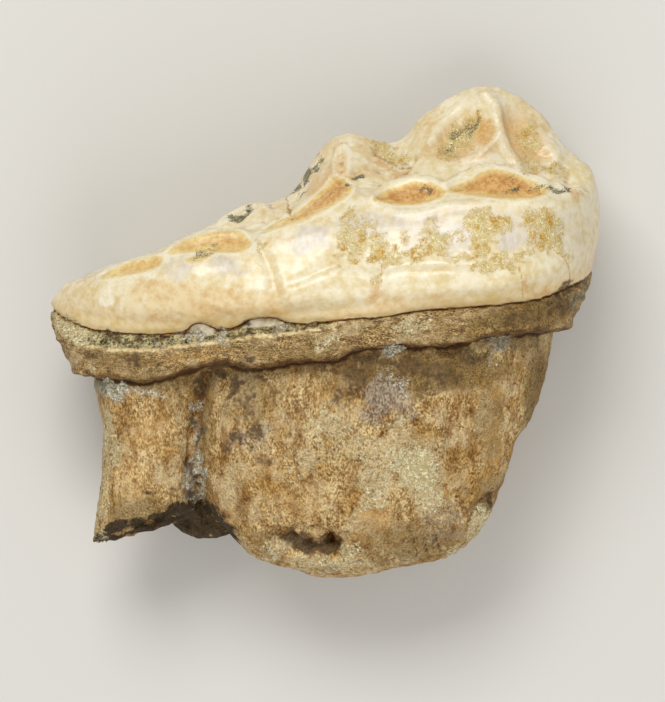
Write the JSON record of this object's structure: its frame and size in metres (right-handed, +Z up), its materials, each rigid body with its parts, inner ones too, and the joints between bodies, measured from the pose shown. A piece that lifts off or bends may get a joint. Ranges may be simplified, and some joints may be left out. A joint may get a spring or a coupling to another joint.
{
  "type": "fossil cave bear tooth",
  "caption": "Worn upper rear molar of a cave bear, lying on its cheek side: low crown with broad worn cusps, a brown ledge at the neck and thick fused roots.",
  "frame": {"origin": "under the middle of the tooth's box, on the surface that it lies on", "axes": "+X along the jaw, from the crown's heel to its front end; +Y from the roots to the cusps; +Z up, from the cheek side, which lies on the table, to the tongue side"},
  "size_m": [0.0456, 0.0414, 0.0214],
  "materials": {
    "fossil_tooth": "satin enamel in cream and tan on the crown, matt orange-brown dentine on the ledge and the roots, with dark stains and pale crust"
  },
  "bodies": {
    "root": {"tooth": "fossil_tooth"}
  },
  "joints": []
}
